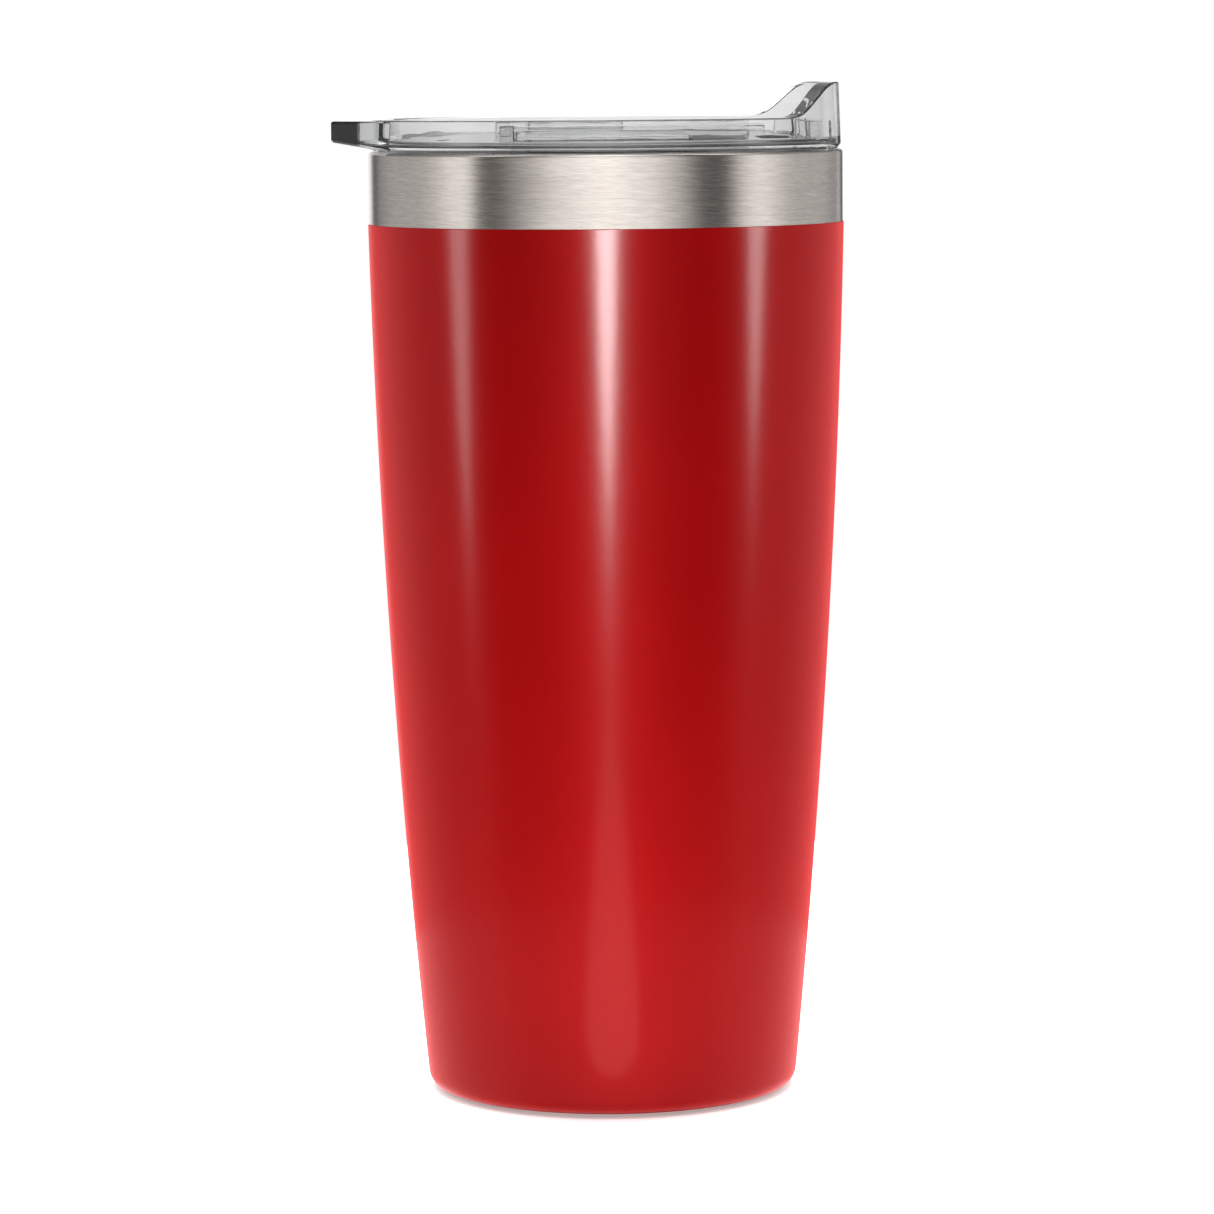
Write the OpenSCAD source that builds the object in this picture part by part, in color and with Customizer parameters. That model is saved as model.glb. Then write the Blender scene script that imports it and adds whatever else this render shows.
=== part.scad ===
// Insulated tumbler with a clear push-in lid.
//
// A double-walled steel cup: an outer shell and an inner liner welded at the lip, with a
// vacuum between them, and a painted coat below a bare steel band. The lid is a clear
// moulding with a lifting tab, a raised spout opposite it, and a slider that shuts the
// drinking slot. The slider is drawn in its open position.
//
// Origin: centre of the base, on the plane that the tumbler stands on. +Z is up, and +X
// points from the lifting tab to the spout.

/* [Cup] */
// Height of the cup from its base to the top of the lip
body_h = 175; // [150:1:220]
// Outside diameter of the bare steel band
rim_d = 87.6; // [84:0.1:92]
// Outside diameter that the taper reaches at the base
base_d = 68; // [64:0.5:74]
// Share of the taper that is straight, the rest of it being curved
taper_mix = 0.37; // [0.2:0.01:0.8]
// Height of the bare steel band below the lip
band_h = 13.2; // [8:0.1:20]
// Thickness of the steel sheet
wall_t = 0.5; // [0.4:0.05:0.6]
// Distance from the outside of the shell to the inside of the liner
double_wall = 3.8; // [3.4:0.1:4.2]
// Thickness of the powder coat
coat_t = 0.2; // [0.15:0.01:0.25]
// Height of the cup's floor above the base
floor_h = 13; // [12.5:0.5:18]

/* [Lid] */
// Height of the lid's rim above the lip
rim_rise = 6; // [5.6:0.1:8]
// Height of the spout above the lip
spout_rise = 12.3; // [10:0.1:15]
// Reach of the lifting tab from the centre of the lid
tab_reach = 50.7; // [48:0.1:54]
// Width of the lifting tab at its end
tab_w = 9; // [6:1:14]
// Angle at which each side of the tab widens towards the rim, in degrees
tab_flare = 48; // [40:1:50]
// Depth of the plug below the lip
plug_h = 13; // [11:0.5:16]

/* [Slider] */
// Travel of the slider from open to shut
slider_travel = 12; // [11:0.5:12]
// Width of the slider
slider_w = 22; // [20:1:24]
// Length of the thumb grip
grip_l = 17.4; // [14:0.2:18]

/* [Hidden] */
$fn = 96;
eps = 0.01;             // overlap that keeps cuts clean

// Cup
rim_r = rim_d / 2;
coat_top = body_h - band_h;
taper = (rim_d - base_d) / 2;
taper_steps = 24;       // straight steps in the curved taper
corner_r = 4;           // rounded lower corner of the shell
corner_join = 1;        // short straight between the corner and the taper
sheet_z = 0.6;          // underside of the shell's turned-in foot
foot_in_r = 28.6;       // inner edge of the turned-in foot
coat_end_r = 30.2;      // inner edge of the coat under the corner
lip_out_r = 0.6;        // rounding of the lip's outer edge
lip_in_r = 1.4;         // rounding of the lip's inner edge
seam_r = rim_r - 2;     // weld seam between shell and liner
mouth_r = rim_r - double_wall;
weld_z = 24;            // seam between the liner's wall and its base
liner_corner_r = 8;
vac_z = 7;              // underside of the vacuum base
vac_flange_h = 5;

// Base cap
cap_r = 30;
cap_ring_r = 24.5;      // inner edge of the standing ring
cap_rise = 1.7;         // depth of the recess in the base
cap_step_w = 2.2;       // width of the rounded step up to the recess
cap_step_r = 0.9;       // rounding of that step
cap_bevel = 0.3;        // small edge bevels

// Vacuum parts
part_gap = 0.05;        // room between parts that are pressed together
dimple_r = 5;
dimple_h = 1.4;
dimple_slope = 1.2;     // how far the dimple's wall leans in
vent_r = 0.8;
bead_r = 2.4;           // radius at which the solder bead's face is still full
bead_h = 0.3;           // height of solder that comes up through the pump-out hole
getter_x = 16;
getter_r = 4;
getter_h = 2.4;
getter_wall = 0.3;
wrap_margin = 2;        // bare wall left above the liner's seam
wrap_top_gap = 4;       // bare wall left below the top of the coat
copper_disc_r = 20;
foil_t = 0.15;
foil_gap = 0.1;

// Lid
seat_gap = 0.15;                    // between the lip and the lid's flange
flange_z = body_h + seat_gap;
flange_r = rim_r - 0.3;
flange_bevel = [0.4, 0.45];         // width and height of the bevel under the flange
rim_top = body_h + rim_rise;
spout_top = body_h + spout_rise;
rim_round = 0.4;                    // rounding of the rim's two top edges
wall_top_r = flange_r - 0.4;        // outside of the spout's wall at its top
wall_lean = 0.6;                    // how much the spout's wall thins towards its top
rim_in_r = flange_r - 2.8;          // inside of the rim
deck_fillet = 1;                    // between the deck and the rim
deck_z = body_h + 1.1;              // top of the lid's deck
deck_t = 2;
plug_r = mouth_r - 0.6;
plug_in_r = plug_r - 1.8;
plug_z = body_h - plug_h;
plug_bevel = 0.5;
groove_z0 = plug_z + 3.5;
groove_z1 = plug_z + 8.5;
groove_r = plug_r - 1.1;
spout_start_x = 30.5;               // where the rim begins to rise
spout_flat_x = 39.6;                // where it reaches full height
spout_toe = [[1.5, 0.35], [2.7, 1]];  // points of the soft start of the rise
spout_nose = 0.3;                   // softening of the last 2 mm before the flat
tab_end_t = 3.8;
tab_top = rim_top - 0.2;
tab_bevel = 0.6;
tab_corner_r = 1.2;

// Slider and what guides it
slider_gap = 0.1;
slider_t = 1.8;
slider_z = deck_z + slider_gap;
slider_tail_x = -17;
slider_nose_x = 26;
slider_nose_r = 5;
slider_tail_r = 2;
grip_x = -5.8;
grip_w = 14;
grip_h = 2.2;
grip_corner_r = 2;
ridge_count = 4;
ridge_pitch = 3.4;
ridge_r = 0.5;
ridge_proud = 0.4;                  // how far a ridge stands out of the grip
rail_gap = 0.25;
rail_w = 1.6;
rail_x0 = -20;
rail_x1 = 28;
rail_lip = 1.2;                     // how far the guide reaches over the slider's edge
rail_lip_t = 0.9;
rail_lip_gap = 0.15;
tail_stop_w = 3.6;                  // hook at the end of each guide that stops the tail
tail_stop_l = 2.6;
slot_x = 32;
slot_l = 17;
slot_w = 7;
vent_hole_x = -30;
vent_hole_r = 1.2;
nose_gap = 0.2;
stop_x = slider_nose_x + slider_travel + nose_gap;
stop_w = 1.4;
stop_y = 5;
stop_top = body_h + 5.2;
spout_rib_x = 33.5;                 // start of the two ribs that stiffen the spout's corners
spout_rib_y = 14;
seal_x0 = 14.6;
seal_x1 = 25.2;
seal_w = 20;
seal_t = 0.88;
seal_lift = 0.02;
seal_corner_r = [2, 4.4];
seal_room = 0.05;

// Outside radius of the shell at a height
function shell_r(z) =
    let (t = max(0, (coat_top - z) / coat_top))
    rim_r - taper * (taper_mix * t + (1 - taper_mix) * t * t);

// Points of the taper from z0 up to z1, moved outwards by off
function taper_line(z0, z1, off) =
    [for (i = [0 : taper_steps]) let (z = z0 + (z1 - z0) * i / taper_steps)
        [shell_r(z) + off, z]];

// Points of an arc
function arc(x, z, r, a0, a1, n = 6) =
    [for (i = [0 : n]) let (a = a0 + (a1 - a0) * i / n) [x + r * cos(a), z + r * sin(a)]];

function flip(points) = [for (i = [len(points) - 1 : -1 : 0]) points[i]];

module turn(points) rotate_extrude() polygon(points);

// Flat plate with round corners: two squares and four circles, so that its edges stay true
module round_rect(x0, x1, w, r0, r1) {
    translate([x0 + r0, -w / 2]) square([x1 - r1 - x0 - r0, w]);
    translate([x0, -w / 2 + r0]) square([r0 + eps, w - 2 * r0]);
    translate([x1 - r1 - eps, -w / 2 + r1]) square([r1 + eps, w - 2 * r1]);
    for (s = [-1, 1]) {
        translate([x0 + r0, s * (w / 2 - r0)]) circle(r0);
        translate([x1 - r1, s * (w / 2 - r1)]) circle(r1);
    }
}

// ---- Cup ----

// Outline of the shell's outside from the foot to the top of the taper, moved out by off
function shell_side(off, foot_r) = concat(
    [[foot_r, sheet_z - off]],
    arc(shell_r(corner_r) - corner_r, sheet_z + corner_r, corner_r + off, -90, -6),
    taper_line(sheet_z + corner_r + corner_join, coat_top, off));

module outer_shell() color("silver")
    turn(concat(
        shell_side(0, foot_in_r),
        arc(rim_r - lip_out_r, body_h - lip_out_r, lip_out_r, 0, 90),
        [[seam_r, body_h], [seam_r, body_h - wall_t]],
        flip(arc(rim_r - lip_out_r, body_h - lip_out_r, lip_out_r - wall_t, 0, 90)),
        flip(shell_side(-wall_t, foot_in_r))));

module powder_coat() color("firebrick")
    turn(concat(shell_side(coat_t, coat_end_r), flip(shell_side(0, coat_end_r))));

module inner_liner() color("silver")
    turn(concat(
        taper_line(weld_z, coat_top, wall_t - double_wall),
        arc(mouth_r + lip_in_r, body_h - lip_in_r, lip_in_r - wall_t, 180, 90),
        [[seam_r, body_h - wall_t], [seam_r, body_h]],
        flip(arc(mouth_r + lip_in_r, body_h - lip_in_r, lip_in_r, 180, 90)),
        flip(taper_line(weld_z, coat_top, -double_wall))));

module inner_base() color("silver") {
    in_r = shell_r(weld_z) - double_wall;
    corner_z = floor_h + liner_corner_r;
    corner_x = shell_r(corner_z) - double_wall - liner_corner_r;
    turn(concat(
        [[0, floor_h], [0, floor_h - wall_t]],
        arc(corner_x, corner_z, liner_corner_r + wall_t, -90, -5),
        [[in_r + wall_t, weld_z], [in_r, weld_z]],
        flip(arc(corner_x, corner_z, liner_corner_r, -90, -5))));
}

// Foil wrapped round the liner, on the vacuum's side
module copper_wrap() color("peru") {
    z0 = weld_z + wrap_margin;
    z1 = coat_top - wrap_top_gap;
    off = foil_gap + wall_t - double_wall;
    turn(concat(taper_line(z0, z1, off), flip(taper_line(z0, z1, off + foil_t))));
}

module copper_disc() color("peru")
    translate([0, 0, floor_h - wall_t - foil_gap - foil_t])
        cylinder(r = copper_disc_r, h = foil_t);

// Pressed dish that closes the vacuum from below, with a dimple and a pump-out hole
module vacuum_base() color("silver") {
    flange_top = vac_z + vac_flange_h;
    low_r = shell_r(vac_z) - wall_t - part_gap;
    high_r = shell_r(flange_top) - wall_t - part_gap;
    bend = 0.3;         // shift of the dimple's wall that keeps its thickness
    turn([
        [vent_r, vac_z + dimple_h],
        [dimple_r - dimple_slope, vac_z + dimple_h],
        [dimple_r, vac_z],
        [low_r, vac_z],
        [high_r, flange_top],
        [high_r - wall_t, flange_top],
        [low_r - wall_t, vac_z + wall_t],
        [dimple_r + bend, vac_z + wall_t],
        [dimple_r - dimple_slope + bend, vac_z + dimple_h + wall_t],
        [vent_r, vac_z + dimple_h + wall_t]]);
}

// Solder glass that fills the dimple and its hole
module seal_bead() color("darkslategray") {
    ceiling = vac_z + dimple_h;
    turn([
        [0, vac_z + 0.1],
        [bead_r, vac_z + 0.5],
        [bead_r + 1, ceiling],
        [vent_r, ceiling],
        [vent_r, ceiling + bead_h],
        [0, ceiling + bead_h]]);
}

module getter_cup() color("lightgray")
    translate([getter_x, 0, vac_z + wall_t]) difference() {
        cylinder(r = getter_r, h = getter_h);
        translate([0, 0, getter_wall]) cylinder(r = getter_r - getter_wall, h = getter_h);
    }

module getter_pellet() color("dimgray")
    translate([getter_x, 0, vac_z + wall_t + getter_wall])
        cylinder(r = getter_r - getter_wall - 0.1, h = getter_h - 3 * getter_wall);

// Outer pan: it stands on a flat ring, and its middle is recessed
module base_cap() color("silver") {
    step_x = cap_ring_r - cap_step_w;
    step_z = cap_rise - cap_step_r;
    turn(concat(
        [[0, cap_rise]],
        flip(arc(step_x, step_z, cap_step_r, 30, 90)),
        [[cap_ring_r, 0], [cap_r - cap_bevel, 0], [cap_r, cap_bevel], [cap_r, sheet_z],
         [cap_ring_r + cap_bevel, sheet_z]],
        arc(step_x, step_z, cap_step_r + wall_t, 30, 90),
        [[0, cap_rise + wall_t]]));
}

// ---- Lid ----

// Turned shape of the lid: rim, deck, plug and gasket groove, without the spout and the tab
module lid_turned()
    turn(concat(
        [[0, deck_z - deck_t], [plug_in_r, deck_z - deck_t], [plug_in_r, plug_z + plug_bevel],
         [plug_in_r + plug_bevel, plug_z], [plug_r - plug_bevel, plug_z],
         [plug_r, plug_z + plug_bevel], [plug_r, groove_z0], [groove_r, groove_z0],
         [groove_r, groove_z1], [plug_r, groove_z1], [plug_r, flange_z],
         [flange_r - flange_bevel[0], flange_z], [flange_r, flange_z + flange_bevel[1]]],
        arc(flange_r - rim_round - 0.2, rim_top - rim_round, rim_round, 0, 90),
        arc(rim_in_r + rim_round, rim_top - rim_round, rim_round, 90, 180),
        flip(arc(rim_in_r - deck_fillet, deck_z + deck_fillet, deck_fillet, -90, 0)),
        [[0, deck_z]]));

// Side view of the spout: the rim's height rises along X, straight across in Y
module spout_side() {
    slope = (spout_rise - rim_rise) / (spout_flat_x - spout_start_x);
    polygon(concat(
        [[flange_r + 1, deck_z + 2], [spout_start_x, deck_z + 2], [spout_start_x, rim_top]],
        [for (p = spout_toe) [spout_start_x, rim_top] + p],
        [[spout_flat_x - 2, spout_top - 2 * slope + spout_nose],
         [spout_flat_x, spout_top - 0.2], [spout_flat_x + 1, spout_top],
         [flange_r + 1, spout_top]]));
}

module spout_wall()
    intersection() {
        difference() {
            translate([0, 0, flange_z])
                cylinder(r1 = flange_r, r2 = wall_top_r, h = spout_top - flange_z);
            translate([0, 0, deck_z + 1.5])
                cylinder(r1 = rim_in_r, r2 = rim_in_r + wall_lean, h = spout_top - deck_z);
        }
        translate([0, flange_r, 0]) rotate([90, 0, 0]) linear_extrude(2 * flange_r) spout_side();
    }

// Outline of the tab from above: it narrows outwards, and its end has round corners
module tab_outline() {
    root_x = -rim_in_r + 1;
    root_y = tab_w / 2 + (tab_reach + root_x) * tan(tab_flare);
    round_y = tab_w / 2 - tab_corner_r * (1 - sin(tab_flare)) / cos(tab_flare);
    side_x = -tab_reach + tab_corner_r * (1 - sin(tab_flare));
    side_y = round_y + tab_corner_r * cos(tab_flare);
    polygon([[-tab_reach, -round_y], [side_x, -side_y], [root_x, -root_y],
             [root_x, root_y], [side_x, side_y], [-tab_reach, round_y]]);
    for (s = [-1, 1]) translate([-tab_reach + tab_corner_r, s * round_y]) circle(tab_corner_r);
}

// Lifting tab: a wedge, thinner at its end
module lift_tab()
    difference() {
        intersection() {
            translate([0, flange_r, 0]) rotate([90, 0, 0]) linear_extrude(2 * flange_r)
                polygon([[-rim_in_r + 1, flange_z],
                         [-flange_r, flange_z],
                         [-tab_reach, tab_top - tab_end_t],
                         [-tab_reach, tab_top - tab_bevel],
                         [-tab_reach + tab_bevel, tab_top],
                         [-rim_in_r + 1, tab_top]]);
            translate([0, 0, flange_z - 1]) linear_extrude(rim_rise + 2) tab_outline();
        }
        translate([0, 0, flange_z - 1]) cylinder(r = rim_in_r + 0.5, h = rim_rise + 2);
    }

// Guides that hold the slider's edges down, with the stop behind its tail
module rails()
    for (s = [-1, 1]) {
        y = slider_w / 2 + rail_gap;
        lip_z = slider_z + slider_t + rail_lip_gap;
        rail_h = lip_z + rail_lip_t - deck_z + eps;
        translate([rail_x0, s > 0 ? y : -y - rail_w, deck_z - eps])
            cube([rail_x1 - rail_x0, rail_w, rail_h]);
        translate([rail_x0, s > 0 ? y - rail_lip : -y - eps, lip_z])
            cube([rail_x1 - rail_x0, rail_lip + eps, rail_lip_t]);
        translate([rail_x0, s > 0 ? y - tail_stop_w : -y - eps, deck_z - eps])
            cube([tail_stop_l, tail_stop_w + eps, rail_h]);
    }

// Ribs inside the spout: the middle two stop the slider's nose
module spout_ribs()
    for (s = [-1, 1], rib = [[stop_x, stop_y], [spout_rib_x, spout_rib_y]])
        translate([rib[0], s * rib[1] - stop_w / 2, deck_z - eps])
            cube([sqrt(pow(rim_in_r + 0.6, 2) - pow(rib[1], 2)) - rib[0], stop_w, stop_top - deck_z]);

module drink_slot() {
    straight = slot_l - slot_w;
    translate([slot_x, 0, deck_z - deck_t - 1]) linear_extrude(deck_t + 2) {
        square([slot_w, straight], center = true);
        for (s = [-1, 1])
            translate([0, s * straight / 2]) circle(slot_w / 2);
    }
}

module lid_body() color("gainsboro")
    difference() {
        union() {
            lid_turned();
            spout_wall();
            lift_tab();
            rails();
            spout_ribs();
        }
        drink_slot();
        translate([vent_hole_x, 0, deck_z - deck_t - 1]) cylinder(r = vent_hole_r, h = deck_t + 2);
    }

// Silicone ring in the plug's groove, with three wiping fins
module lid_gasket() color("whitesmoke") {
    fins = 3;
    end_gap = 0.1;
    z0 = groove_z0 + end_gap;
    z1 = groove_z1 - end_gap;
    back_r = groove_r + part_gap;
    body_r = plug_r - part_gap;
    fin_r = mouth_r - 0.1;
    pitch = (z1 - z0) / fins;
    fin = [[body_r, 0.3], [fin_r, 0.6], [fin_r, 0.95], [body_r, 1.35]];
    turn(concat(
        [[back_r, z0], [body_r, z0]],
        [for (i = [0 : fins - 1], p = fin) [p[0], z0 + i * pitch + p[1]]],
        [[body_r, z1], [back_r, z1]]));
}

// ---- Slider ----

// Outline of the seal under the slider's nose, with room round it for the slider's pocket
module seal_outline(room)
    round_rect(seal_x0 - room, seal_x1 + room, seal_w + 2 * room, seal_corner_r[0], seal_corner_r[1]);

module slider() color("gainsboro")
    difference() {
        union() {
            translate([0, 0, slider_z]) linear_extrude(slider_t)
                round_rect(slider_tail_x, slider_nose_x, slider_w, slider_tail_r, slider_nose_r);
            translate([grip_x, 0, slider_z + slider_t - eps]) linear_extrude(grip_h)
                round_rect(-grip_l / 2, grip_l / 2, grip_w, grip_corner_r, grip_corner_r);
            for (i = [0 : ridge_count - 1])
                translate([grip_x + (i - (ridge_count - 1) / 2) * ridge_pitch, 0,
                           slider_z + slider_t + grip_h + ridge_proud - ridge_r])
                    rotate([90, 0, 0]) cylinder(r = ridge_r, h = grip_w - 4, center = true);
        }
        translate([0, 0, slider_z - 1]) linear_extrude(1 + seal_t - slider_gap + seal_lift)
            seal_outline(seal_room);
    }

module slider_seal() color("whitesmoke")
    translate([0, 0, deck_z + seal_lift]) linear_extrude(seal_t - seal_lift) seal_outline(0);

outer_shell();
powder_coat();
inner_liner();
inner_base();
copper_wrap();
copper_disc();
getter_cup();
getter_pellet();
vacuum_base();
seal_bead();
base_cap();
lid_body();
lid_gasket();
slider();
slider_seal();
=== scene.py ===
"""Looks of the insulated tumbler with lid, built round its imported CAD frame.

Meshes are made in millimetres and scaled to metres when they are finished. +Z is up the cup's
axis, and +X points from the lid's lifting tab to its spout.
"""
import math

import bmesh
import bpy
from mathutils import Matrix, Vector


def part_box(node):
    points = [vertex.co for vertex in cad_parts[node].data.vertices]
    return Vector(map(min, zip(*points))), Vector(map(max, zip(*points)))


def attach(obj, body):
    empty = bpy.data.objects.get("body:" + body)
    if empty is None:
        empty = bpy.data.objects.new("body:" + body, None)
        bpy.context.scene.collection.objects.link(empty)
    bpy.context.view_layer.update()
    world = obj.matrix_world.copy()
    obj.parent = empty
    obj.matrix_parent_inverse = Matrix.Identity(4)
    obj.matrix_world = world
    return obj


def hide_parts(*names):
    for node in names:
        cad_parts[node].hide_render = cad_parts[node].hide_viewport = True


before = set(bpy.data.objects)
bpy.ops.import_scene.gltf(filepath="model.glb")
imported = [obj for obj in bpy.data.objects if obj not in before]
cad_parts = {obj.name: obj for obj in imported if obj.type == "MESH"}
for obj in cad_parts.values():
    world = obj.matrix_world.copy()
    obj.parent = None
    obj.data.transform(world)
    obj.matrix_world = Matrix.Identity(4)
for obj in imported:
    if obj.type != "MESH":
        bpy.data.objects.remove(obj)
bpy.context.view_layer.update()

MM = 0.001
TAU = 2 * math.pi


def box_mm(node):
    """Lowest and highest corner of a CAD node, in millimetres."""
    low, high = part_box(node)
    return low / MM, high / MM


# ---- Sizes, in millimetres: places come from the frame, and small details are stated here ----

shell_low, shell_high = box_mm("outer_shell")
RIM_R = shell_high.x
CUP_H = shell_high.z
FOOT_Z = shell_low.z
COAT_TOP = box_mm("powder_coat")[1].z
COAT_T = box_mm("powder_coat")[1].x - RIM_R
WELD_Z = box_mm("inner_liner")[0].z
WALL_T = 0.5            # steel sheet
DOUBLE_WALL = 3.8       # from the shell's outside to the liner's inside
FLOOR_Z = box_mm("inner_base")[0].z + WALL_T
BASE_R = 34.0           # radius that the taper reaches at the base
TAPER_MIX = 0.37        # share of the taper that is straight
CORNER_R = 2.8          # between the wall and the base
LIP_OUT_R = 0.6         # the shell's roll at the lip
LIP_IN_R = 1.4          # the liner's roll at the lip
SEAM_R = RIM_R - 2.0    # where the shell and the liner are welded on the lip
SEAM_DEPTH = 0.06       # depth of the groove that a weld leaves
WELD_HALF = 0.1         # half the height of the groove between the liner and its floor
MOUTH_R = RIM_R - DOUBLE_WALL
FOOT_IN_R = 28.6        # inner edge of the shell's foot
COAT_END_R = 30.2       # where the coat stops under the base
COAT_EDGE = 0.16        # height over which the coat's upper edge rounds off
LINER_CORNER_R = 8.0    # between the liner's wall and its floor
HUB_R = 2.0             # flat middle of the floor and of the base cap

CAP_R = box_mm("base_cap")[1].x
CAP_RING_R = 24.5       # inner edge of the ring that the cup stands on
CAP_RISE = 1.7          # depth of the pan inside that ring
CAP_STEP_R = 0.9        # rounding of the pan's edge
CAP_STEP_IN = 2.2       # from the ring's inner edge to the centre of that rounding

lid_low, lid_high = box_mm("lid_body")
FLANGE_Z = CUP_H + 0.15
FLANGE_R = RIM_R - 0.3
SPOUT_TOP = lid_high.z
RIM_TOP = CUP_H + 6     # away from the spout
TAB_REACH = -lid_low.x  # from the axis to the tab's end
PLUG_Z = lid_low.z
RIM_IN_R = FLANGE_R - 2.8
BEVEL_W = 0.6           # bevel under the flange
BEVEL_H = 0.9
SPOUT_ADVANCE = 0.3     # how much sooner the spout rises on the inside of the rim
SPOUT_THICKER = 0.6     # what the rim gains inwards at the top of the spout
DECK_Z = CUP_H + 1.1    # top of the lid's deck
DECK_T = 2.0
ROOT = 0.5              # how deep a solid is rooted in the plate that it stands on
GAP = 0.05              # round a silicone piece in its groove or pocket
PLUG_R = MOUTH_R - 0.6
PLUG_IN_R = PLUG_R - 1.8
GROOVE_Z0 = PLUG_Z + 3.5        # the gasket's groove
GROOVE_Z1 = PLUG_Z + 8.5
GROOVE_R = PLUG_R - 1.1
TAB_W = 9.0             # width at the end
TAB_FLARE = math.radians(48)    # angle between its sides and the way it points
TAB_TOP = RIM_TOP - 0.2
TAB_END_T = 3.8         # thickness at the end
TAB_EDGE_R = 0.55
RIB_TOP = CUP_H + 5.2
RIB_T = 1.4
RIB_REACH = 0.8         # how far a rib runs into the rim
RIBS = [(38.2, 5), (33.5, 14)]  # where the ribs inside the spout start: each is one of a pair
FINS = 3                # on the gasket

slider_low, slider_high = box_mm("slider")
seal_low, seal_high = box_mm("slider_seal")
SLIDER_T = 1.8
SLIDER_W = slider_high.y - slider_low.y
GRIP_X = -5.8           # middle of the thumb block
GRIP_L = 17.4
GRIP_W = 14.0
GRIP_H = 2.2
RIDGES = 4              # on the thumb block
RIDGE_PITCH = 3.4
RIDGE_W = 1.0
RIDGE_H = 0.4
SEAL_ENDS_R = (2, 4.4)  # corner radii of the seal under the slider's nose
RAIL_X0 = -20.0         # the rails run from here
RAIL_X1 = 28.0          # to here
RAIL_T = 1.6
RAIL_LIP = 1.2          # how far a rail reaches over the slider's edge
RAIL_LIP_T = 0.9
RAIL_SIDE_GAP = 0.25    # from a rail to the slider's edge
RAIL_TOP_GAP = 0.15     # from a rail's lip to the slider's top
HOOK_L = 2.6            # of the hooks behind the slider's tail
HOOK_REACH = 3.6        # how far they reach inwards
SLOT_X = 32.0           # middle of the drinking slot
SLOT_L = 17.0
SLOT_W = 7.0
VENT_X = -30.0
VENT_R = 1.2

AROUND = 288            # steps round a turned piece
AROUND_LID = 480        # more, because the lid's rim changes height
CREASE = 35             # degrees between two faces from which their edge stays sharp
MERGE = 1e-5            # distance at which points count as one


# ---- Mesh helpers ----

def rounded(corners, steps=6, closed=True):
    """Outline with its corners rounded: each corner is (x, y, radius)."""
    out = []
    count = len(corners)
    for i, (x, y, radius) in enumerate(corners):
        at_end = not closed and i in (0, count - 1)
        if radius == 0 or at_end:
            out.append((x, y))
            continue
        corner = Vector((x, y))
        back = (Vector(corners[i - 1][:2]) - corner).normalized()
        ahead = (Vector(corners[(i + 1) % count][:2]) - corner).normalized()
        half = back.angle(ahead) / 2
        centre = corner + (back + ahead).normalized() * (radius / math.sin(half))
        first = corner + back * (radius / math.tan(half)) - centre
        last = corner + ahead * (radius / math.tan(half)) - centre
        start = math.atan2(first.y, first.x)
        turn = (math.atan2(last.y, last.x) - start + math.pi) % TAU - math.pi
        for k in range(steps + 1):
            a = start + turn * k / steps
            out.append((centre.x + radius * math.cos(a), centre.y + radius * math.sin(a)))
    return out


def object_from(bm, name):
    """New object in the scene from a bmesh, which is freed."""
    mesh = bpy.data.meshes.new(name)
    bm.to_mesh(mesh)
    bm.free()
    obj = bpy.data.objects.new(name, mesh)
    bpy.context.scene.collection.objects.link(obj)
    return obj


def make_object(name, verts, faces):
    """New object from vertices in millimetres, with its faces turned outwards."""
    bm = bmesh.new()
    points = [bm.verts.new(p) for p in verts]
    for face in faces:
        bm.faces.new([points[i] for i in face])
    bmesh.ops.remove_doubles(bm, verts=bm.verts, dist=MERGE)
    bmesh.ops.recalc_face_normals(bm, faces=bm.faces)
    return object_from(bm, name)


def spin(name, outline, around=AROUND, closed=True):
    """Solid of revolution over an (r, z) outline, or over a function of the angle that gives one.

    An outline that isn't closed starts and ends on flat round faces across the axis.
    """
    outline_at = outline if callable(outline) else lambda angle: outline
    rings = [outline_at(TAU * i / around) for i in range(around)]
    n = len(rings[0])
    verts = []
    for i, ring in enumerate(rings):
        c, s = math.cos(TAU * i / around), math.sin(TAU * i / around)
        verts += [(r * c, r * s, z) for r, z in ring]
    spans = n if closed else n - 1
    faces = []
    for i in range(around):
        j = (i + 1) % around
        for k in range(spans):
            m = (k + 1) % n
            faces.append((i * n + k, j * n + k, j * n + m, i * n + m))
    if not closed:
        faces.append([i * n for i in range(around)])
        faces.append([i * n + n - 1 for i in range(around)])
    return make_object(name, verts, faces)


def loft(name, rings):
    """Solid through a stack of rings with the same number of points, capped at both ends."""
    n = len(rings[0])
    verts = [p for ring in rings for p in ring]
    faces = []
    for k in range(len(rings) - 1):
        for i in range(n):
            j = (i + 1) % n
            faces.append((k * n + i, k * n + j, (k + 1) * n + j, (k + 1) * n + i))
    faces.append(list(range(n)))
    faces.append([(len(rings) - 1) * n + i for i in range(n)])
    return make_object(name, verts, faces)


def inset(outline, amount):
    """Smooth closed outline moved inwards by amount, point by point."""
    n = len(outline)
    out = []
    for i in range(n):
        before, after = Vector(outline[i - 1]), Vector(outline[(i + 1) % n])
        along = (after - before).normalized()
        inward = Vector((-along.y, along.x))
        out.append(tuple(Vector(outline[i]) + inward * amount))
    return out


def quarter_turn(steps):
    """Sine and cosine of each step from 0 to 90 degrees."""
    angles = [math.pi / 2 * k / steps for k in range(steps + 1)]
    return [(math.sin(a), math.cos(a)) for a in angles]


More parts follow.
